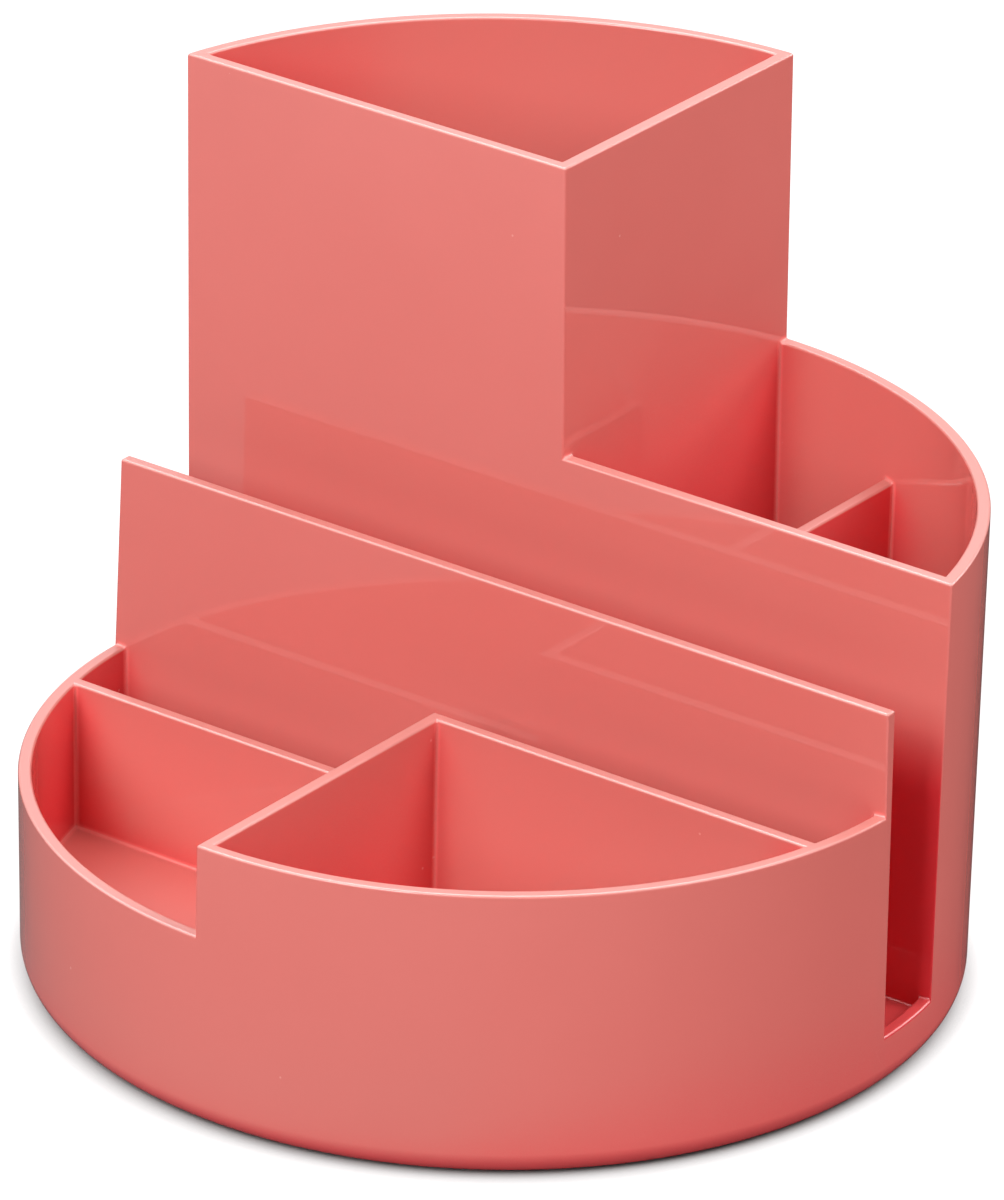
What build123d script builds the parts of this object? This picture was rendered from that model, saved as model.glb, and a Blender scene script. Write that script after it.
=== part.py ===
from build123d import *
import os
from math import radians, sqrt, tan

os.makedirs("parts", exist_ok=True)

# Round desk organizer, moulded in one shot of gloss plastic.
# X runs along the letter slot, Y points to the rear, Z is up.
# The origin is on the round body's axis, on the surface that it stands on. Sizes are in millimetres.

# Round body
rim_diameter = 140.0
outer_draft = 0.59
wall = 2.0
bottom_round = 4.0
rim_round = 0.4

# Heights above the table, from the lowest rim to the highest
floor_level = 7.0
floor_thickness = 2.0
sill_height = 8.9
front_low_height = 30.2
front_high_height = 44.5
plate_height = 60.4
rear_divider_height = 60.4
rear_bin_height = 74.5
pen_cup_height = 119.4

# Foot ring under the floor
foot_width = 2.0
recess_round = 1.0

# Letter slot, between the front plate and the wall behind it
slot_front = 0.1
slot_width = 13.7
plate_end_lean = 1.7

# Places of the upright walls
cup_side_x = -0.3
cup_side_lean = 1.0
cup_inner_lean = 0.3
rear_divider_x = 22.8
centre_divider_x = -0.8
front_divider_y = -14.35

# Worked out from the sizes above
slot_rear = slot_front + slot_width
plate_front = slot_front - wall
rear_wall_back = slot_rear + wall
cup_inner_x = cup_side_x - wall
cup_middle_x = cup_side_x - wall / 2
recess_depth = floor_level - floor_thickness
reach = rim_diameter


def outer_radius(height):
    return rim_diameter / 2 - (pen_cup_height - height) * tan(radians(outer_draft))


def cup_face_x(height):
    # The cup's side wall thickens downwards, so its right face leans out from its top edge.
    return cup_side_x + (pen_cup_height - height) * tan(radians(cup_side_lean))


def cup_inner_face_x(height):
    return cup_inner_x - (pen_cup_height - height) * tan(radians(cup_inner_lean))


def upright_section(low, high, height):
    # Section across a flat wall that stands on the floor, with both top edges rounded.
    Polygon((low, floor_level), (high, floor_level), (high, height), (low, height), align=None)
    fillet(vertices().group_by(Axis.Y)[-1], rim_round)


def ring_section(height):
    # Section through the round outer wall, with both top edges rounded.
    foot = outer_radius(floor_level)
    top = outer_radius(height)
    Polygon((foot - wall, floor_level), (foot, floor_level), (top, height), (top - wall, height), align=None)
    fillet(vertices().group_by(Axis.Y)[-1], rim_round)


# Envelope of the whole body, used only to trim the pieces
with BuildPart() as envelope:
    with BuildSketch(Plane.XZ) as envelope_section:
        Polygon(
            (0, 0),
            (outer_radius(0), 0),
            (outer_radius(pen_cup_height), pen_cup_height),
            (0, pen_cup_height),
            align=None,
        )
        fillet(vertices().group_by(Axis.Y)[0].sort_by(Axis.X)[-1], bottom_round)
    revolve(axis=Axis.Z)

# Space inside the round outer wall, used only to trim the pieces
with BuildPart() as inside:
    with BuildSketch(Plane.XZ) as inside_section:
        Polygon(
            (0, floor_level),
            (outer_radius(floor_level) - wall, floor_level),
            (outer_radius(pen_cup_height) - wall, pen_cup_height),
            (0, pen_cup_height),
            align=None,
        )
    revolve(axis=Axis.Z)

# Floor of every compartment, with the rounded bottom edge and the foot ring
with BuildPart() as base_pan:
    add(envelope.part)
    with BuildSketch(Plane.XY.offset(floor_level)):
        Circle(reach)
    extrude(amount=pen_cup_height, mode=Mode.SUBTRACT)
    with BuildSketch(Plane.XY):
        Circle(outer_radius(0) - bottom_round - foot_width)
    extrude(amount=recess_depth, mode=Mode.SUBTRACT)
    recess_edge = edges().filter_by(GeomType.CIRCLE).filter_by_position(Axis.Z, recess_depth, recess_depth)
    fillet(recess_edge, recess_round)
base_pan.part.label = "base_pan"
export_step(base_pan.part, "parts/base_pan.step")

# Low rims that close the two open ends of the letter slot
with BuildPart() as slot_end_sills:
    with BuildSketch(Plane.XZ):
        ring_section(sill_height)
    revolve(axis=Axis.Z)
    with Locations((0, (slot_front + slot_rear) / 2, 0)):
        Box(2 * reach, slot_width, 2 * reach, mode=Mode.INTERSECT)
slot_end_sills.part.label = "slot_end_sills"
export_step(slot_end_sills.part, "parts/slot_end_sills.step")

# Plate in front of the letter slot, with free ends that lean in above the two front rims
with BuildPart() as slot_front_plate:
    with BuildSketch(Plane.YZ):
        upright_section(plate_front, slot_front, plate_height)
    extrude(amount=reach, both=True)
    add(envelope.part, mode=Mode.INTERSECT)
    low_end = sqrt(outer_radius(front_low_height) ** 2 - plate_front ** 2)
    high_end = sqrt(outer_radius(front_high_height) ** 2 - plate_front ** 2)
    low_lean = (plate_height - front_low_height) * tan(radians(plate_end_lean))
    high_lean = (plate_height - front_high_height) * tan(radians(plate_end_lean))
    with BuildSketch(Plane.XZ) as plate_outline:
        Polygon(
            (-reach, 0),
            (reach, 0),
            (reach, front_high_height),
            (high_end, front_high_height),
            (high_end - high_lean, plate_height),
            (low_lean - low_end, plate_height),
            (-low_end, front_low_height),
            (-reach, front_low_height),
            align=None,
        )
    extrude(amount=reach, both=True, mode=Mode.INTERSECT)
slot_front_plate.part.label = "slot_front_plate"
export_step(slot_front_plate.part, "parts/slot_front_plate.step")

# Tall flat wall between the letter slot and the pen cup
with BuildPart() as pen_cup_front_wall:
    with BuildSketch(Plane.YZ):
        upright_section(slot_rear, rear_wall_back, pen_cup_height)
    extrude(amount=reach, both=True)
    add(envelope.part, mode=Mode.INTERSECT)
    with BuildSketch(Plane.XZ) as cup_front_outline:
        Polygon(
            (-reach, floor_level),
            (cup_face_x(floor_level), floor_level),
            (cup_face_x(pen_cup_height), pen_cup_height),
            (-reach, pen_cup_height),
            align=None,
        )
    extrude(amount=reach, both=True, mode=Mode.INTERSECT)
pen_cup_front_wall.part.label = "pen_cup_front_wall"
export_step(pen_cup_front_wall.part, "parts/pen_cup_front_wall.step")

# Lower flat wall that carries the slot's rear side on, in front of the rear bins
with BuildPart() as rear_bin_front_wall:
    with BuildSketch(Plane.YZ.offset(cup_middle_x)):
        upright_section(slot_rear, rear_wall_back, rear_bin_height)
    extrude(amount=reach)
    add(envelope.part, mode=Mode.INTERSECT)
    add(pen_cup_front_wall.part, mode=Mode.SUBTRACT)
rear_bin_front_wall.part.label = "rear_bin_front_wall"
export_step(rear_bin_front_wall.part, "parts/rear_bin_front_wall.step")

# Side wall of the pen cup, which thickens downwards
with BuildPart() as pen_cup_side_wall:
    with BuildSketch(Plane.XZ.offset(-rear_wall_back)):
        Polygon(
            (cup_inner_face_x(floor_level), floor_level),
            (cup_face_x(floor_level), floor_level),
            (cup_face_x(pen_cup_height), pen_cup_height),
            (cup_inner_face_x(pen_cup_height), pen_cup_height),
            align=None,
        )
        fillet(vertices().group_by(Axis.Y)[-1], rim_round)
    extrude(amount=-reach)
    add(envelope.part, mode=Mode.INTERSECT)
pen_cup_side_wall.part.label = "pen_cup_side_wall"
export_step(pen_cup_side_wall.part, "parts/pen_cup_side_wall.step")

# Round wall of the pen cup
with BuildPart() as pen_cup_curved_wall:
    with BuildSketch(Plane.XZ):
        ring_section(pen_cup_height)
    revolve(axis=Axis.Z)
    with Locations((cup_middle_x, rear_wall_back, 0)):
        Box(reach, reach, 2 * reach, align=(Align.MAX, Align.MIN, Align.CENTER), mode=Mode.INTERSECT)
    add(pen_cup_side_wall.part, mode=Mode.SUBTRACT)
pen_cup_curved_wall.part.label = "pen_cup_curved_wall"
export_step(pen_cup_curved_wall.part, "parts/pen_cup_curved_wall.step")

# Round wall of the two rear bins
with BuildPart() as rear_bin_curved_wall:
    with BuildSketch(Plane.XZ):
        ring_section(rear_bin_height)
    revolve(axis=Axis.Z)
    with Locations((cup_middle_x, rear_wall_back, 0)):
        Box(reach, reach, 2 * reach, align=(Align.MIN, Align.MIN, Align.CENTER), mode=Mode.INTERSECT)
    add(pen_cup_side_wall.part, mode=Mode.SUBTRACT)
rear_bin_curved_wall.part.label = "rear_bin_curved_wall"
export_step(rear_bin_curved_wall.part, "parts/rear_bin_curved_wall.step")

# Divider between the wide and the narrow rear bin
with BuildPart() as rear_bin_divider:
    with BuildSketch(Plane.XZ.offset(-rear_wall_back)):
        upright_section(rear_divider_x, rear_divider_x + wall, rear_divider_height)
    extrude(amount=-reach)
    add(inside.part, mode=Mode.INTERSECT)
rear_bin_divider.part.label = "rear_bin_divider"
export_step(rear_bin_divider.part, "parts/rear_bin_divider.step")

# Round wall in front on the left, with the lowest rim
with BuildPart() as front_low_curved_wall:
    with BuildSketch(Plane.XZ):
        ring_section(front_low_height)
    revolve(axis=Axis.Z)
    with Locations((centre_divider_x, plate_front, 0)):
        Box(reach, reach, 2 * reach, align=(Align.MAX, Align.MAX, Align.CENTER), mode=Mode.INTERSECT)
front_low_curved_wall.part.label = "front_low_curved_wall"
export_step(front_low_curved_wall.part, "parts/front_low_curved_wall.step")

# Round wall in front on the right, which steps up at the centre divider
with BuildPart() as front_high_curved_wall:
    with BuildSketch(Plane.XZ):
        ring_section(front_high_height)
    revolve(axis=Axis.Z)
    with Locations((centre_divider_x, plate_front, 0)):
        Box(reach, reach, 2 * reach, align=(Align.MIN, Align.MAX, Align.CENTER), mode=Mode.INTERSECT)
front_high_curved_wall.part.label = "front_high_curved_wall"
export_step(front_high_curved_wall.part, "parts/front_high_curved_wall.step")

# Divider from the front wall back to the cross dividers
with BuildPart() as front_centre_divider:
    with BuildSketch(Plane.XZ.offset(-front_divider_y)):
        upright_section(centre_divider_x, centre_divider_x + wall, front_high_height)
    extrude(amount=reach)
    add(inside.part, mode=Mode.INTERSECT)
front_centre_divider.part.label = "front_centre_divider"
export_step(front_centre_divider.part, "parts/front_centre_divider.step")

# Cross divider behind the front right bin
with BuildPart() as front_right_divider:
    with BuildSketch(Plane.YZ.offset(centre_divider_x + wall)):
        upright_section(front_divider_y - wall, front_divider_y, front_high_height)
    extrude(amount=reach)
    add(inside.part, mode=Mode.INTERSECT)
front_right_divider.part.label = "front_right_divider"
export_step(front_right_divider.part, "parts/front_right_divider.step")

# Cross divider behind the front left bin
with BuildPart() as front_left_divider:
    with BuildSketch(Plane.YZ.offset(centre_divider_x)):
        upright_section(front_divider_y - wall, front_divider_y, front_low_height)
    extrude(amount=-reach)
    add(inside.part, mode=Mode.INTERSECT)
front_left_divider.part.label = "front_left_divider"
export_step(front_left_divider.part, "parts/front_left_divider.step")
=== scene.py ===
from math import atan2, cos, pi, radians, sin, sqrt, tan

import bmesh
import bpy
from mathutils import Matrix, Vector
from mathutils.bvhtree import BVHTree
from mathutils.interpolate import poly_3d_calc


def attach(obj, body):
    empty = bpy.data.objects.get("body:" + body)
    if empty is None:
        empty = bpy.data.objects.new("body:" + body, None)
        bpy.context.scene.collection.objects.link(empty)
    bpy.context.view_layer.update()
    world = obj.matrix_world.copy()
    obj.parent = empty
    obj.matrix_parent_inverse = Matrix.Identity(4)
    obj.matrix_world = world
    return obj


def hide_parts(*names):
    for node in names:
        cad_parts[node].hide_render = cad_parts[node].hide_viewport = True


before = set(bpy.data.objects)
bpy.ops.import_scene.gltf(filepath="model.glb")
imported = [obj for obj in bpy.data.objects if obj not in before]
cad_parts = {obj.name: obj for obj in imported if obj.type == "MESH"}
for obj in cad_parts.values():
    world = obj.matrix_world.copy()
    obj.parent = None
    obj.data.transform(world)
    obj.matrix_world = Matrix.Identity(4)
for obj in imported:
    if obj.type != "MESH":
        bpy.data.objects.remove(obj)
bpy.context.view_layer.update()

# Sizes in millimetres and angles in degrees, the same as in the part's source
MM = 0.001
RIM_RADIUS = 70.0
OUTER_DRAFT = 0.59
WALL = 2.0
BOTTOM_ROUND = 4.0
FLOOR = 7.0
FLOOR_THICKNESS = 2.0
SILL = 8.9
FRONT_LOW = 30.2
FRONT_HIGH = 44.5
PLATE = 60.4
REAR_DIVIDER = 60.4
REAR_BIN = 74.5
PEN_CUP = 119.4
FOOT_WIDTH = 2.0
RECESS_ROUND = 1.0
SLOT_FRONT = 0.1
SLOT_REAR = 13.8
PLATE_END_LEAN = 1.7
CUP_SIDE_X = -0.3
CUP_SIDE_LEAN = 1.0
CUP_INNER_LEAN = 0.3
REAR_DIVIDER_X = 22.8
CENTRE_DIVIDER_X = -0.8
CROSS_DIVIDER_Y = -14.35
PLATE_FRONT = SLOT_FRONT - WALL
WALL_BACK = SLOT_REAR + WALL
SLOT_MIDDLE = (SLOT_FRONT + SLOT_REAR) / 2

# Fineness of the mesh, and the radius and profile of its rounded edges
ARC_STEP = radians(1.0)
ROUND_STEPS = 16
EDGE_ROUND = 0.4
EDGE_STEPS = 4
SHARP = radians(25)
CIRCULAR = 0.5

# Seams where the moulding is divided: each runs just clear of the rounded edges
SEAM_CLEARANCE = 0.05
SEAM = EDGE_ROUND + SEAM_CLEARANCE
# Half the width of the cut across a divider's end
DIVIDER_CUT = WALL
# How far a cut reaches past a face beside it
AIR = 0.2
# A face whose normal agrees less than this with the moulding's surface lies inside a wall
INSIDE_WALL = 0.7
# Bounds of the cuts: outside the moulding, apart from UNDER, the level of the recess's ceiling
FAR = 90.0
BELOW = -5.0
UNDER = 5.0
ABOVE = 130.0


def outer_radius(z):
    return RIM_RADIUS - (PEN_CUP - z) * tan(radians(OUTER_DRAFT))


def inner_radius(z):
    return outer_radius(z) - WALL


def cup_face_x(z):
    return CUP_SIDE_X + (PEN_CUP - z) * tan(radians(CUP_SIDE_LEAN))


def cup_inner_x(z):
    return CUP_SIDE_X - WALL - (PEN_CUP - z) * tan(radians(CUP_INNER_LEAN))


# A spot is a corner of the plan: a function that gives x and y at a height
spots = {}


def at_y(radius, side, y):
    return lambda z: (side * sqrt(radius(z) ** 2 - y * y), y)


def at_x(radius, side, x_of):
    return lambda z: (x_of(z), side * sqrt(radius(z) ** 2 - x_of(z) ** 2))


def straight(x_of, y):
    return lambda z: (x_of(z), y)


def on_arc(radius, angle):
    return lambda z: (radius(z) * cos(angle), radius(z) * sin(angle))


def plate_end(side, y, rim):
    # Below the rim the plate ends in the round wall, above it the free end leans in
    reach = sqrt(outer_radius(rim) ** 2 - PLATE_FRONT ** 2)

    def place(z):
        if z <= rim:
            return (side * sqrt(outer_radius(z) ** 2 - y * y), y)
        return (side * (reach - (z - rim) * tan(radians(PLATE_END_LEAN))), y)

    return place


for side, mark, rim in ((-1, "left", FRONT_LOW), (1, "right", FRONT_HIGH)):
    for name, radius in (("out", outer_radius), ("in", inner_radius)):
        spots[f"{name}_plate_front_{mark}"] = at_y(radius, side, PLATE_FRONT)
        spots[f"{name}_plate_rear_{mark}"] = at_y(radius, side, SLOT_FRONT)
        spots[f"{name}_wall_front_{mark}"] = at_y(radius, side, SLOT_REAR)
        spots[f"{name}_wall_back_{mark}"] = at_y(radius, side, WALL_BACK)
    spots[f"out_plate_front_{mark}"] = plate_end(side, PLATE_FRONT, rim)
    spots[f"out_plate_rear_{mark}"] = plate_end(side, SLOT_FRONT, rim)
    spots[f"in_cross_rear_{mark}"] = at_y(inner_radius, side, CROSS_DIVIDER_Y)
    spots[f"in_cross_front_{mark}"] = at_y(inner_radius, side, CROSS_DIVIDER_Y - WALL)

spots["out_cup"] = at_x(outer_radius, 1, lambda z: cup_face_x(max(z, REAR_BIN)))
spots["in_cup"] = at_x(inner_radius, 1, cup_face_x)
spots["in_cup_inner"] = at_x(inner_radius, 1, cup_inner_x)
spots["cup_front"] = straight(cup_face_x, SLOT_REAR)
spots["cup_back"] = straight(cup_face_x, WALL_BACK)
spots["cup_inner_back"] = straight(cup_inner_x, WALL_BACK)
for mark, x in (("left", REAR_DIVIDER_X), ("right", REAR_DIVIDER_X + WALL)):
    spots[f"rear_{mark}"] = straight(lambda z, x=x: x, WALL_BACK)
    spots[f"in_rear_{mark}"] = at_x(inner_radius, 1, lambda z, x=x: x)
for mark, x in (("left", CENTRE_DIVIDER_X), ("right", CENTRE_DIVIDER_X + WALL)):
    spots[f"centre_rear_{mark}"] = straight(lambda z, x=x: x, CROSS_DIVIDER_Y)
    spots[f"centre_front_{mark}"] = straight(lambda z, x=x: x, CROSS_DIVIDER_Y - WALL)
    spots[f"in_centre_{mark}"] = at_x(inner_radius, -1, lambda z, x=x: x)
    spots[f"out_centre_{mark}"] = at_x(outer_radius, -1, lambda z, x=x: x)


def turn(name, z):
    x, y = spots[name](z)
    return atan2(y, x)


def arc(radius, first, last):
    # Names of the spots from first to last, counterclockwise, with new ones between them
    begin = max(turn(first, z) for z in (FLOOR, PEN_CUP))
    end = min(turn(last, z) for z in (FLOOR, PEN_CUP))
    if end < begin:
        end += 2 * pi
    count = max(round((end - begin) / ARC_STEP), 1)
    names = [first]
    for k in range(1, count):
        name = f"{radius.__name__}_{first}_{k}"
        spots[name] = on_arc(radius, begin + (end - begin) * k / count)
        names.append(name)
    return names + [last]


outer_rear_right = arc(outer_radius, "out_wall_back_right", "out_cup")
outer_pen_cup = arc(outer_radius, "out_cup", "out_wall_back_left")
outer_sill_left = arc(outer_radius, "out_wall_front_left", "out_plate_rear_left")
outer_front_left = arc(outer_radius, "out_plate_front_left", "out_centre_left")
outer_front_right = arc(outer_radius, "out_centre_left", "out_plate_front_right")
outer_sill_right = arc(outer_radius, "out_plate_rear_right", "out_wall_front_right")
inner_sill_left = arc(inner_radius, "in_wall_front_left", "in_plate_rear_left")
inner_sill_right = arc(inner_radius, "in_plate_rear_right", "in_wall_front_right")
inner_narrow = arc(inner_radius, "in_wall_back_right", "in_rear_right")
inner_rear_divider = ["in_rear_right", "in_rear_left"]
inner_wide = arc(inner_radius, "in_rear_left", "in_cup")
inner_pen_cup = arc(inner_radius, "in_cup_inner", "in_wall_back_left")
inner_long_left = arc(inner_radius, "in_plate_front_left", "in_cross_rear_left")
inner_cross_left = ["in_cross_rear_left", "in_cross_front_left"]
inner_front_left = arc(inner_radius, "in_cross_front_left", "in_centre_left")
inner_centre = ["in_centre_left", "in_centre_right"]
inner_front_right = arc(inner_radius, "in_centre_right", "in_cross_front_right")
inner_cross_right = ["in_cross_front_right", "in_cross_rear_right"]
inner_long_right = arc(inner_radius, "in_cross_rear_right", "in_plate_front_right")

# Regions of the plan, each with the height of its top, counterclockwise
regions = [
    # Floors
    (FLOOR, inner_pen_cup + ["cup_inner_back"]),
    (FLOOR, inner_wide + ["cup_back", "rear_left"]),
    (FLOOR, inner_narrow + ["rear_right"]),
    (FLOOR, inner_sill_right + ["cup_front"] + inner_sill_left),
    (FLOOR, inner_long_right + inner_long_left + ["centre_rear_left", "centre_rear_right"]),
    (FLOOR, inner_front_left + ["centre_front_left"]),
    (FLOOR, inner_front_right + ["centre_front_right"]),
    # Sills
    (SILL, outer_sill_right + inner_sill_right[::-1]),
    (SILL, outer_sill_left + inner_sill_left[::-1]),
    # Plate
    (PLATE, ["in_plate_front_left", "in_plate_front_right", "out_plate_front_right", "out_plate_rear_right",
             "in_plate_rear_right", "in_plate_rear_left", "out_plate_rear_left", "out_plate_front_left"]),
    # Walls at the height of the pen cup
    (PEN_CUP, ["cup_front", "cup_back", "cup_inner_back", "in_wall_back_left", "out_wall_back_left",
               "out_wall_front_left", "in_wall_front_left"]),
    (PEN_CUP, ["cup_back", "in_cup", "in_cup_inner", "cup_inner_back"]),
    (PEN_CUP, outer_pen_cup + inner_pen_cup[::-1] + ["in_cup"]),
    # Walls at the height of the rear bins
    (REAR_BIN, ["cup_front", "in_wall_front_right", "out_wall_front_right", "out_wall_back_right",
                "in_wall_back_right", "rear_right", "rear_left", "cup_back"]),
    (REAR_BIN, outer_rear_right + inner_wide[::-1] + inner_rear_divider[:1] + inner_narrow[-2::-1]),
    (REAR_DIVIDER, ["rear_left", "rear_right", "in_rear_right", "in_rear_left"]),
    # Low walls in front
    (FRONT_LOW, outer_front_left + inner_front_left[::-1] + inner_cross_left[:1] + inner_long_left[-2::-1]),
    (FRONT_LOW, ["in_cross_front_left", "centre_front_left", "centre_rear_left", "in_cross_rear_left"]),
    # Higher walls in front
    (FRONT_HIGH, outer_front_right + inner_long_right[::-1] + inner_cross_right[:1]
     + inner_front_right[-2::-1] + inner_centre[:1]),
    (FRONT_HIGH, ["in_centre_left", "in_centre_right", "centre_front_right", "centre_rear_right",
                  "centre_rear_left", "centre_front_left"]),
    (FRONT_HIGH, ["centre_front_right", "in_cross_front_right", "in_cross_rear_right", "centre_rear_right"]),
]
outline = (outer_rear_right + outer_pen_cup[1:] + outer_sill_left + outer_front_left + outer_front_right[1:]
           + outer_sill_right)


# One mesh of the whole moulding, from which the pieces are cut
def build_moulding():
    bm = bmesh.new()
    corners = {}
    levels = {}

    def corner(name, z):
        if (name, z) not in corners:
            x, y = spots[name](z)
            corners[name, z] = bm.verts.new((x * MM, y * MM, z * MM))
        return corners[name, z]

    # Section through the bottom, from the round wall in to the recess under the floor
    slope = radians(OUTER_DRAFT)
    tangent = BOTTOM_ROUND / tan((pi / 2 + slope) / 2)
    centre = outer_radius(0) - tangent
    section = []
    for k in range(ROUND_STEPS + 1):
        angle = -slope - (pi / 2 - slope) * k / ROUND_STEPS
        section.append((centre + BOTTOM_ROUND * cos(angle), BOTTOM_ROUND + BOTTOM_ROUND * sin(angle)))
    base = section[0][1]
    foot_inner = outer_radius(0) - BOTTOM_ROUND - FOOT_WIDTH
    ceiling = FLOOR - FLOOR_THICKNESS
    section.append((foot_inner, 0.0))
    for k in range(EDGE_STEPS + 1):
        angle = pi / 2 * k / EDGE_STEPS
        section.append((foot_inner - RECESS_ROUND + RECESS_ROUND * cos(angle),
                        ceiling - RECESS_ROUND + RECESS_ROUND * sin(angle)))

    height_of = {}
    for height, names in regions:
        for first, last in zip(names, names[1:] + names[:1]):
            height_of[first, last] = height
            levels.setdefault(first, set()).add(height)
    for name in outline:
        levels[name].add(base)

    for height, names in regions:
        bm.faces.new([corner(name, height) for name in names])
    for (first, last), height in height_of.items():
        low = height_of.get((last, first), base)
        if low >= height:
            continue
        up = [corner(last, z) for z in sorted(levels[last]) if low <= z <= height]
        down = [corner(first, z) for z in sorted(levels[first], reverse=True) if low <= z <= height]
        bm.faces.new(up + down)

    rows = [[corner(name, base) for name in outline]]
    turns = [turn(name, base) for name in outline]
    for radius, z in section[1:]:
        rows.append([bm.verts.new((radius * cos(a) * MM, radius * sin(a) * MM, z * MM)) for a in turns])
    for upper, lower in zip(rows, rows[1:]):
        for k in range(len(outline)):
            n = (k + 1) % len(outline)
            bm.faces.new((lower[k], lower[n], upper[n], upper[k]))
    bm.faces.new(rows[-1][::-1])

    bmesh.ops.recalc_face_normals(bm, faces=bm.faces)
    sharp = [e for e in bm.edges if e.calc_face_angle(0.0) > SHARP]
    bmesh.ops.bevel(bm, geom=sharp, offset=EDGE_ROUND * MM, offset_type="OFFSET", segments=EDGE_STEPS,
                    profile=CIRCULAR, affect="EDGES", clamp_overlap=False, loop_slide=True)
    for face in bm.faces:
        face.smooth = True
    return bm


def add_object(name, data):
    thing = bpy.data.objects.new(name, data)
    bpy.context.collection.objects.link(thing)
    return thing


def finished_mesh(thing):
    # A new mesh from an object with its modifiers applied
    evaluated = thing.evaluated_get(bpy.context.evaluated_depsgraph_get())
    return bpy.data.meshes.new_from_object(evaluated)


bm = build_moulding()
mesh = bpy.data.meshes.new("moulding")
bm.to_mesh(mesh)
bm.free()
moulding = add_object("moulding", mesh)
moulding.modifiers.new("normals", "WEIGHTED_NORMAL")

# Surface of the whole moulding and its smoothed normals, which every piece takes over
surface = finished_mesh(moulding)
bpy.data.objects.remove(moulding)
surface.calc_loop_triangles()
surface_places = [vertex.co.copy() for vertex in surface.vertices]
surface_triangles = [tuple(triangle.vertices) for triangle in surface.loop_triangles]
surface_tree = BVHTree.FromPolygons(surface_places, surface_triangles)
surface_normals = [Vector() for _ in surface_places]
for loop, normal in zip(surface.loops, surface.corner_normals):
    surface_normals[loop.vertex_index] += normal.vector
for normal in surface_normals:
    normal.normalize()


def take_normals(mesh):
    # Gives a piece the normals of the whole moulding, so that no seam shows where two pieces meet
    found = []
    for vertex in mesh.vertices:
        place, _, index, _ = surface_tree.find_nearest(vertex.co)
        corners = surface_triangles[index]
        shares = poly_3d_calc([surface_places[k] for k in corners], place)
        normal = Vector()
        for k, share in zip(corners, shares):
            normal += surface_normals[k] * share
        found.append(normal.normalized())
    mesh.shade_smooth()
    result = [None] * len(mesh.loops)
    for face in mesh.polygons:
        # A face inside a wall, where two pieces meet, keeps its own normal
        hidden = max(found[k].dot(face.normal) for k in face.vertices) < INSIDE_WALL
        for loop, vertex in zip(face.loop_indices, face.vertices):
            result[loop] = face.normal if hidden else found[vertex]
    mesh.normals_split_custom_set(result)


def prism(plan, z_low, z_high):
    # Closed solid whose outline is plan(z) at its lowest and at its highest level, counterclockwise
    bm = bmesh.new()
    low = [bm.verts.new((x * MM, y * MM, z_low * MM)) for x, y in plan(z_low)]
    high = [bm.verts.new((x * MM, y * MM, z_high * MM)) for x, y in plan(z_high)]
    bm.faces.new(low[::-1])
    bm.faces.new(high)
    for k in range(len(low)):
        n = (k + 1) % len(low)
        bm.faces.new((low[k], low[n], high[n], high[k]))
    mesh = bpy.data.meshes.new("prism")
    bm.to_mesh(mesh)
    bm.free()
    return add_object("prism", mesh)


def combined(mesh, cutter, operation):
    thing = add_object("cut", mesh)
    step = thing.modifiers.new("cut", "BOOLEAN")
    step.solver = "EXACT"
    step.operation = operation
    step.object = cutter
    result = finished_mesh(thing)
    bpy.data.objects.remove(thing)
    return result


def leaning_block(x_low_of, x_high_of, y_low, y_high):
    def plan(z):
        x_low = x_low_of(z)
        x_high = x_high_of(z)
        return [(x_low, y_low), (x_high, y_low), (x_high, y_high), (x_low, y_high)]

    return plan


def block(x_low, x_high, y_low, y_high):
    return leaning_block(lambda z: x_low, lambda z: x_high, y_low, y_high)


def divider(first, second, ends):
    # Outline from two corners to a short cut across the divider, just before it meets the round wall
    angle = (turn(ends[0], FLOOR) + turn(ends[1], FLOOR)) / 2
    u, v = -DIVIDER_CUT * sin(angle), DIVIDER_CUT * cos(angle)

    def plan(z):
        x = (inner_radius(z) - SEAM) * cos(angle)
        y = (inner_radius(z) - SEAM) * sin(angle)
        return [first, second, (x - u, y - v), (x + u, y + v)]

    return plan


centre_left = CENTRE_DIVIDER_X - SEAM
centre_right = CENTRE_DIVIDER_X + WALL + SEAM
centre_middle = CENTRE_DIVIDER_X + WALL / 2
cross_rear = CROSS_DIVIDER_Y + AIR
cross_front = CROSS_DIVIDER_Y - WALL - AIR
wall_seam = WALL_BACK + SEAM

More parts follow.
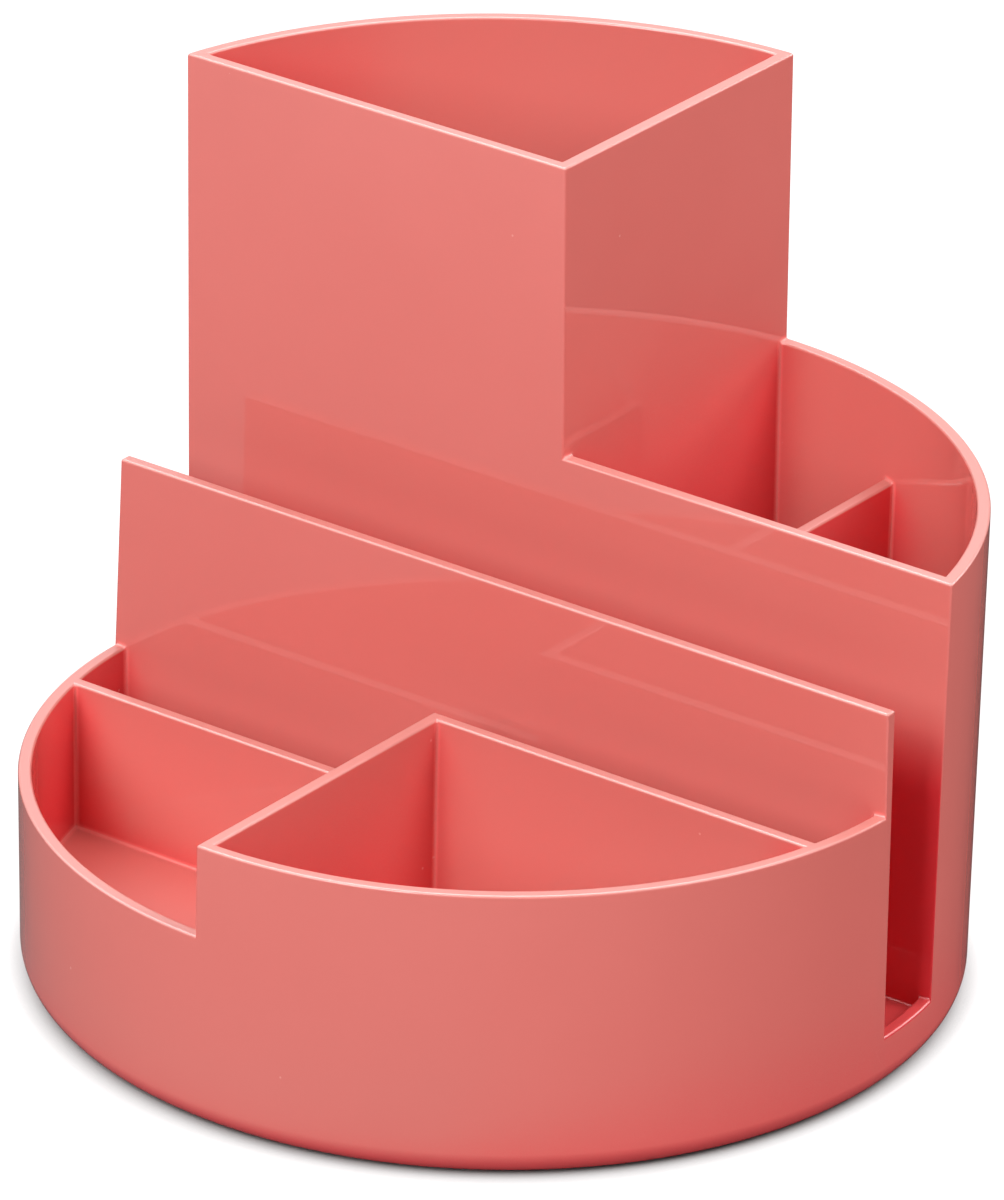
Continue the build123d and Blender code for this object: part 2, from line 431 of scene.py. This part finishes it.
# The pieces in the order in which they come off the whole, each with the plan of its cut
cuts = [
    ("base_pan", block(-FAR, FAR, -FAR, FAR)),
    ("front_centre_divider", divider((centre_right, cross_rear), (centre_left, cross_rear),
                                     ("in_centre_left", "in_centre_right"))),
    ("front_left_divider", divider((centre_middle, cross_front), (centre_middle, cross_rear),
                                   ("in_cross_rear_left", "in_cross_front_left"))),
    ("front_right_divider", divider((centre_middle, cross_rear), (centre_middle, cross_front),
                                    ("in_cross_front_right", "in_cross_rear_right"))),
    ("rear_bin_divider", divider((REAR_DIVIDER_X - AIR, wall_seam), (REAR_DIVIDER_X + WALL + AIR, wall_seam),
                                 ("in_rear_left", "in_rear_right"))),
    ("slot_end_sills", block(-FAR, FAR, SLOT_FRONT + SEAM, SLOT_REAR - SEAM)),
    ("slot_front_plate", block(-FAR, FAR, PLATE_FRONT - SEAM, SLOT_MIDDLE)),
    ("front_low_curved_wall", block(-FAR, CENTRE_DIVIDER_X - SEAM, -FAR, PLATE_FRONT)),
    ("front_high_curved_wall", block(-FAR, FAR, -FAR, PLATE_FRONT)),
    ("rear_bin_front_wall", leaning_block(lambda z: cup_face_x(z) + SEAM, lambda z: FAR,
                                          SLOT_MIDDLE, wall_seam)),
    ("pen_cup_front_wall", block(-FAR, FAR, SLOT_MIDDLE, wall_seam)),
    ("pen_cup_side_wall", leaning_block(lambda z: cup_inner_x(z) - SEAM, lambda z: cup_face_x(z) + SEAM,
                                        SLOT_MIDDLE, FAR)),
    ("rear_bin_curved_wall", block(CUP_SIDE_X, FAR, SLOT_MIDDLE, FAR)),
    ("pen_cup_curved_wall", block(-FAR, FAR, SLOT_MIDDLE, FAR)),
]
pieces = []
rest = surface
for name, plan in cuts:
    heights = (BELOW, FLOOR + SEAM) if name == "base_pan" else (UNDER, ABOVE)
    cutter = prism(plan, *heights)
    mesh = combined(rest, cutter, "INTERSECT")
    rest = combined(rest, cutter, "DIFFERENCE")
    bpy.data.objects.remove(cutter)
    take_normals(mesh)
    piece = add_object(f"moulded_{name}", mesh)
    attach(piece, "root")
    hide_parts(name)
    pieces.append(piece)


# Colours of the plastic: its clouds of tint and a less red colour inside the bins, with painted shade in
# shelter and on the slot's floor and sills
TINT_DARK = (0.65, 0.149, 0.128, 1.0)
TINT_LIGHT = (0.67, 0.157, 0.136, 1.0)
HOLLOW_COLOUR = (0.63, 0.169, 0.147, 1.0)
# Painted shade, deep crimson, for corners, narrow gaps and the letter slot
PAINTED_SHADE_COLOUR = (0.74, 0.045, 0.055, 1.0)
# Painted shade on the slot's floor and sills
SLOT_FLOOR_SHADE_COLOUR = (0.58, 0.056, 0.058, 1.0)
# Colours of the painted light on the walls' tops, of the painted highlight along the inner corners, and of
# the specks
TOP_LIGHT_COLOUR = (0.56, 0.185, 0.160, 1.0)
CREASE_HIGHLIGHT_COLOUR = (0.88, 0.22, 0.20, 1.0)
SPECK_COLOUR = (0.80, 0.42, 0.38, 1.0)

# Polystyrene
PLASTIC_IOR = 1.59
# Roughness: from the glossiest cloud to the dullest on the walls' faces, and on tops and floors
GLOSS_LOW = 0.015
GLOSS_HIGH = 0.035
TOP_ROUGHNESS = 0.35

# How far the plastic looks for shelter, in metres: on faces that look to the front, and on others
SHELTER_REACH_FRONT = 0.010
SHELTER_REACH = 0.026
# What faces that look to the right add to that
SHELTER_REACH_RIGHT = 0.018
# The same for the line along the inner corners, and for the inside of the bins
CREASE_REACH = 0.0008
HOLLOW_REACH = 0.050
SHELTER_SAMPLES = 4

# Pairs of values between which a share goes from 0 to 1
# Parts of a face's normal: up, to the right, and away from the front
UPWARD = (0.05, 0.6)
TO_RIGHT = (0.5, 1.0)
FROM_FRONT = (-1.0, -0.5)
# Shares of the open that a place sees: for shelter, the inside of the bins, and the line along the corners
OPEN = (0.2, 0.8)
HOLLOW = (0.85, 0.5)
CREASE = (0.95, 0.65)
# Noise of the clouds
CLOUDS = (0.3, 0.7)
# Heights in metres: where the painted shade in the letter slot grows deep, and where upward faces grow pale
# with painted light
SLOT_DEEP_Z = (0.056, 0.040)
PALE_Z = (0.010, 0.025)

# About half the length of the slot's floor, and how far the slot's colour reaches past its faces, in metres
SLOT_INNER_X = 0.0665
SLOT_MARGIN = 0.00005
# Shares of the painted light on floors, of the painted highlight along the corners, and of the specks
FLOOR_PALE = 0.2
CREASE_SHARE = 0.8
SPECK_SHARE = 0.35
# Noise patterns: their scales, as repeats in a metre, and their detail. SPECK_SIZE is a share of a cell
CLOUD_SCALE = 28.0
CLOUD_DETAIL = 3.0
WAVE_SCALE = 45.0
WAVE_DETAIL = 1.0
SPECK_SCALE = 110.0
SPECK_SIZE = 0.022
# The slight waviness of a moulded face, with its height in metres
WAVE_STRENGTH = 0.15
WAVE_HEIGHT = 0.0001


def new_material(name):
    result = bpy.data.materials.new(name)
    result.use_nodes = True
    result.node_tree.nodes.clear()
    return result, result.node_tree


def add_node(tree, kind, settings=(), inputs=()):
    # A new node, whose inputs are values or outputs of other nodes
    node = tree.nodes.new(f"ShaderNode{kind}")
    for name, value in dict(settings).items():
        setattr(node, name, value)
    for key, value in dict(inputs).items():
        if isinstance(value, bpy.types.NodeSocket):
            tree.links.new(value, node.inputs[key])
        else:
            node.inputs[key].default_value = value
    return node


def maths(tree, operation, *values, clamp=False):
    # The values go to the node's inputs in their order
    settings = {"operation": operation, "use_clamp": clamp}
    return add_node(tree, "Math", settings, enumerate(values)).outputs["Value"]


def ranged(tree, value, from_min, from_max, to_min=0.0, to_max=1.0, kind="LINEAR"):
    inputs = {"Value": value, "From Min": from_min, "From Max": from_max, "To Min": to_min, "To Max": to_max}
    return add_node(tree, "MapRange", {"interpolation_type": kind}, inputs).outputs["Result"]


def mixed(tree, factor, first, second, kind="RGBA"):
    inputs = {"Factor": factor, "A": first, "B": second}
    return add_node(tree, "Mix", {"data_type": kind}, inputs).outputs["Result"]


def separated(tree, vector):
    # Outputs X, Y and Z
    return add_node(tree, "SeparateXYZ", inputs={"Vector": vector}).outputs


def noise(tree, place, scale, detail):
    inputs = {"Vector": place, "Scale": scale, "Detail": detail}
    return add_node(tree, "TexNoise", inputs=inputs).outputs["Fac"]


def shelter(tree, reach, samples=SHELTER_SAMPLES):
    # 1 in the open, down to 0 where surfaces within reach close it in
    return add_node(tree, "AmbientOcclusion", {"samples": samples}, {"Distance": reach}).outputs["AO"]


def gloss_plastic():
    # Gloss polystyrene: its colour with faint flow clouding, painted shade in corners and in the slot,
    # painted light on tops and along inner corners, and the slight waviness of a moulded face
    result, tree = new_material("gloss_coral")
    place = add_node(tree, "TexCoord").outputs["Object"]
    spot = separated(tree, place)
    facing = separated(tree, add_node(tree, "NewGeometry").outputs["Normal"])
    upward = ranged(tree, facing["Z"], *UPWARD)
    clouds = noise(tree, place, CLOUD_SCALE, CLOUD_DETAIL)
    tint = mixed(tree, ranged(tree, clouds, *CLOUDS), TINT_DARK, TINT_LIGHT)

    # The letter slot is narrow and deep, so it gets painted shade: on its walls above the sills, deepening
    # downwards from just below the plate's top, and on its floor between the round walls
    half_width = (SLOT_REAR - SLOT_FRONT) / 2 * MM + SLOT_MARGIN
    across = maths(tree, "COMPARE", spot["Y"], SLOT_MIDDLE * MM, half_width)
    inside = maths(tree, "COMPARE", spot["X"], 0.0, SLOT_INNER_X)
    raised = maths(tree, "MULTIPLY_ADD", inside, (SILL - FLOOR + EDGE_ROUND) * MM, spot["Z"])
    above_sill = maths(tree, "GREATER_THAN", raised, (SILL - EDGE_ROUND) * MM)
    depth = ranged(tree, spot["Z"], *SLOT_DEEP_Z, kind="SMOOTHSTEP")
    slot_shade = maths(tree, "MULTIPLY", maths(tree, "MULTIPLY", across, above_sill), depth)
    open_top = maths(tree, "SUBTRACT", upward, slot_shade, clamp=True)

    # Light that goes from wall to wall in a bin makes it redder, so the colour there is a little less so
    to_right = ranged(tree, facing["X"], *TO_RIGHT)
    hollow = ranged(tree, shelter(tree, HOLLOW_REACH), *HOLLOW)
    other_faces = maths(tree, "MAXIMUM", to_right, upward)
    tint = mixed(tree, maths(tree, "SUBTRACT", hollow, other_faces, clamp=True), tint, HOLLOW_COLOUR)

    # Painted shade: the colour deepens in corners and narrow gaps, where surfaces close the place in,
    # standing in for the light that the plastic lets through
    reach = ranged(tree, facing["Y"], *FROM_FRONT, SHELTER_REACH_FRONT, SHELTER_REACH)
    reach = maths(tree, "MULTIPLY_ADD", to_right, SHELTER_REACH_RIGHT, reach)
    openness = ranged(tree, shelter(tree, reach), *OPEN)
    open_place = maths(tree, "SUBTRACT", openness, slot_shade, clamp=True)
    colour = mixed(tree, maths(tree, "MAXIMUM", open_place, open_top), PAINTED_SHADE_COLOUR, tint)

    # Painted light makes the tops of the walls paler, and the floors a little; painted shade makes the floor
    # and sills of the slot deeper
    pale = ranged(tree, spot["Z"], *PALE_Z, FLOOR_PALE, 1.0)
    colour = mixed(tree, maths(tree, "MULTIPLY", open_top, pale), colour, TOP_LIGHT_COLOUR)
    colour = mixed(tree, maths(tree, "MULTIPLY", upward, slot_shade), colour, SLOT_FLOOR_SHADE_COLOUR)

    # Painted highlight: a pale line along each inner corner, where the moulding's small blend would catch
    # the light
    closeness = ranged(tree, shelter(tree, CREASE_REACH), *CREASE, 0.0, CREASE_SHARE)
    colour = mixed(tree, maths(tree, "SUBTRACT", closeness, slot_shade, clamp=True), colour, CREASE_HIGHLIGHT_COLOUR)

    # A few specks of dust and pigment, each a fraction of a millimetre wide
    cells = add_node(tree, "TexVoronoi", inputs={"Vector": place, "Scale": SPECK_SCALE}).outputs["Distance"]
    specks = maths(tree, "MULTIPLY", maths(tree, "LESS_THAN", cells, SPECK_SIZE), SPECK_SHARE)
    colour = mixed(tree, specks, colour, SPECK_COLOUR)

    # The floors and the tops of the walls are duller than the walls' faces
    haze = ranged(tree, clouds, *CLOUDS, GLOSS_LOW, GLOSS_HIGH)
    roughness = mixed(tree, upward, haze, TOP_ROUGHNESS, kind="FLOAT")

    waves = noise(tree, place, WAVE_SCALE, WAVE_DETAIL)
    inputs = {"Strength": WAVE_STRENGTH, "Distance": WAVE_HEIGHT, "Height": waves}
    bump = add_node(tree, "Bump", inputs=inputs).outputs["Normal"]
    inputs = {"Base Color": colour, "Roughness": roughness, "Normal": bump, "IOR": PLASTIC_IOR}
    shader = add_node(tree, "BsdfPrincipled", inputs=inputs).outputs["BSDF"]
    add_node(tree, "OutputMaterial", inputs={"Surface": shader})
    return result


coral = gloss_plastic()
for piece in pieces:
    piece.data.materials.append(coral)


def seen_directly(tree):
    # 1 to the camera, in reflections and through glass, 0 to the light that it sheds
    rays = add_node(tree, "LightPath").outputs
    direct = maths(tree, "MAXIMUM", rays["Is Camera Ray"], rays["Is Glossy Ray"])
    return maths(tree, "MAXIMUM", direct, rays["Is Transmission Ray"])


# Floor: white to the camera and in reflections, a duller bounce as a light, and it keeps the object's shadow
FLOOR_SHADE = (0.2, 0.2, 0.2, 1.0)
FLOOR_BOUNCE = (0.35, 0.35, 0.35, 1.0)
FLOOR_LIFT = 0.9
FLOOR_SIZE = 6.0
# How far the floor looks for the object's foot, in metres
CONTACT_REACH = 0.0065
CONTACT_SAMPLES = 8
# Shares of the open that the floor sees, between which its lift grows
CONTACT = (0.12, 0.74)


def floor_material():
    result, tree = new_material("studio_floor")
    seen = seen_directly(tree)
    paper = add_node(tree, "BsdfDiffuse", inputs={"Color": mixed(tree, seen, FLOOR_BOUNCE, FLOOR_SHADE)})
    # Close to the object's foot the lift fades, which paints a contact shadow there over the floor's own
    # shade
    lift = ranged(tree, shelter(tree, CONTACT_REACH, CONTACT_SAMPLES), *CONTACT, 0.0, FLOOR_LIFT)
    glow = add_node(tree, "Emission", inputs={"Strength": maths(tree, "MULTIPLY", lift, seen)})
    total = add_node(tree, "AddShader", inputs={0: paper.outputs["BSDF"], 1: glow.outputs["Emission"]})
    add_node(tree, "OutputMaterial", inputs={"Surface": total.outputs["Shader"]})
    return result


def flat_sheet(name, size):
    # Square in the plane z = 0 around the origin
    bm = bmesh.new()
    bmesh.ops.create_grid(bm, x_segments=1, y_segments=1, size=size / 2)
    mesh = bpy.data.meshes.new(name)
    bm.to_mesh(mesh)
    bm.free()
    return add_object(name, mesh)


floor = flat_sheet("studio_floor", FLOOR_SIZE)
floor.data.materials.append(floor_material())


# Depth on the floor, in metres, over which the card turns from clear to dark
CARD_DARK_Y = (-0.42, 0.08)
CARD_COLOUR = (0.05, 0.05, 0.05, 1.0)
CARD_SIZE = 3.0
CARD_Z = 0.0002


def card_material():
    result, tree = new_material("dark_card")
    spot = separated(tree, add_node(tree, "TexCoord").outputs["Object"])
    fade = ranged(tree, spot["Y"], *CARD_DARK_Y, kind="SMOOTHSTEP")
    clear = add_node(tree, "BsdfTransparent").outputs["BSDF"]
    reflected_shade = add_node(tree, "BsdfDiffuse", inputs={"Color": CARD_COLOUR}).outputs["BSDF"]
    mix = add_node(tree, "MixShader", inputs={"Fac": fade, 1: clear, 2: reflected_shade}).outputs["Shader"]
    add_node(tree, "OutputMaterial", inputs={"Surface": mix})
    return result


# Dark card on the floor that only reflections show: a painted reflection of shade, dark behind the object,
# which the upright faces mirror
card = flat_sheet("dark_card", CARD_SIZE)
card.location = (0.0, 0.0, CARD_Z)
card.data.materials.append(card_material())
card.visible_camera = False
card.visible_diffuse = False
card.visible_shadow = False
card.visible_transmission = False


# World: pale to the camera and in reflections, and no light from it otherwise
WORLD_COLOUR = (0.8, 0.8, 0.8, 1.0)
world = bpy.data.worlds.new("studio")
bpy.context.scene.world = world
world.use_nodes = True
world.node_tree.nodes.clear()
inputs = {"Color": WORLD_COLOUR, "Strength": seen_directly(world.node_tree)}
sky = add_node(world.node_tree, "Background", inputs=inputs)
add_node(world.node_tree, "OutputWorld", inputs={"Surface": sky.outputs["Background"]})


# The lamps and panels look at one point from one distance, in metres
LAMP_DISTANCE = 1.6
LAMP_AIM = Vector((0.0, 0.0, 0.05))
# Name, azimuth (0 in front of the object, 90 on its right) and elevation in degrees, size in metres, power,
# whether it lights faces itself, and whether reflections show it. The panels are for reflections only: they
# light up the rims and the rounded edges
LAMPS = [
    ("key", 5, 45, 0.6, 15.2, True, True),
    ("low_key", 5, 28, 0.6, 10.2, True, True),
    ("left_key", -30, 45, 0.6, 5.0, True, True),
    ("left_fill", -75, 30, 0.6, 2.6, True, True),
    ("side", 105, 42, 0.7, 13.2, True, True),
    ("rear_side", 160, 25, 0.6, 13.0, True, True),
    ("high_side", 90, 65, 0.8, 7.4, True, True),
    ("back_fill", 228, 28, 0.8, 8.0, True, False),
    ("rear_panel", 216, 30, 1.4, 1.4, False, True),
    ("high_panel", 216, 65, 1.2, 50.0, False, True),
    ("left_panel", -80, 45, 1.6, 34.0, False, True),
]

for name, turned, raised, size, power, lights, mirrored in LAMPS:
    light = bpy.data.lights.new(name, "AREA")
    light.shape = "SQUARE"
    light.size = size
    light.energy = power
    lamp = add_object(name, light)
    azimuth = radians(turned)
    elevation = radians(raised)
    toward = Vector((sin(azimuth) * cos(elevation), -cos(azimuth) * cos(elevation), sin(elevation)))
    lamp.location = LAMP_AIM + toward * LAMP_DISTANCE
    lamp.rotation_euler = toward.to_track_quat("Z", "Y").to_euler()
    lamp.visible_camera = False
    lamp.visible_diffuse = lights
    lamp.visible_glossy = mirrored


# Camera, in the photograph's place: fitted to the object's corners in it. Its lengths are in millimetres
FOCAL_PX = 10300.94
PHOTO_LONG_SIDE = 1200
SENSOR = 36.0
CAMERA_AZIMUTH = radians(36.285)
CAMERA_ELEVATION = radians(25.190)
CAMERA_ROLL = radians(1.1544)
CAMERA_DISTANCE = 1474.78
# The point it looks at: its height, and how far it lies from the object's axis to the camera's right
AIM_Z = 57.077
AIM_RIGHT = 0.218

back = Vector((sin(CAMERA_AZIMUTH) * cos(CAMERA_ELEVATION), -cos(CAMERA_AZIMUTH) * cos(CAMERA_ELEVATION),
               sin(CAMERA_ELEVATION)))
level_right = Vector((cos(CAMERA_AZIMUTH), sin(CAMERA_AZIMUTH), 0.0))
level_up = back.cross(level_right)
right = level_right * cos(CAMERA_ROLL) + level_up * sin(CAMERA_ROLL)
up = level_up * cos(CAMERA_ROLL) - level_right * sin(CAMERA_ROLL)
aim = level_right * AIM_RIGHT + Vector((0.0, 0.0, AIM_Z))
camera_data = bpy.data.cameras.new("camera")
camera_data.sensor_width = SENSOR
camera_data.lens = FOCAL_PX * SENSOR / PHOTO_LONG_SIDE
camera = add_object("camera", camera_data)
pose = Matrix((right, up, back)).transposed().to_4x4()
pose.translation = (aim + back * CAMERA_DISTANCE) * MM
camera.matrix_world = pose
bpy.context.scene.camera = camera
bpy.context.scene.view_settings.view_transform = "Standard"
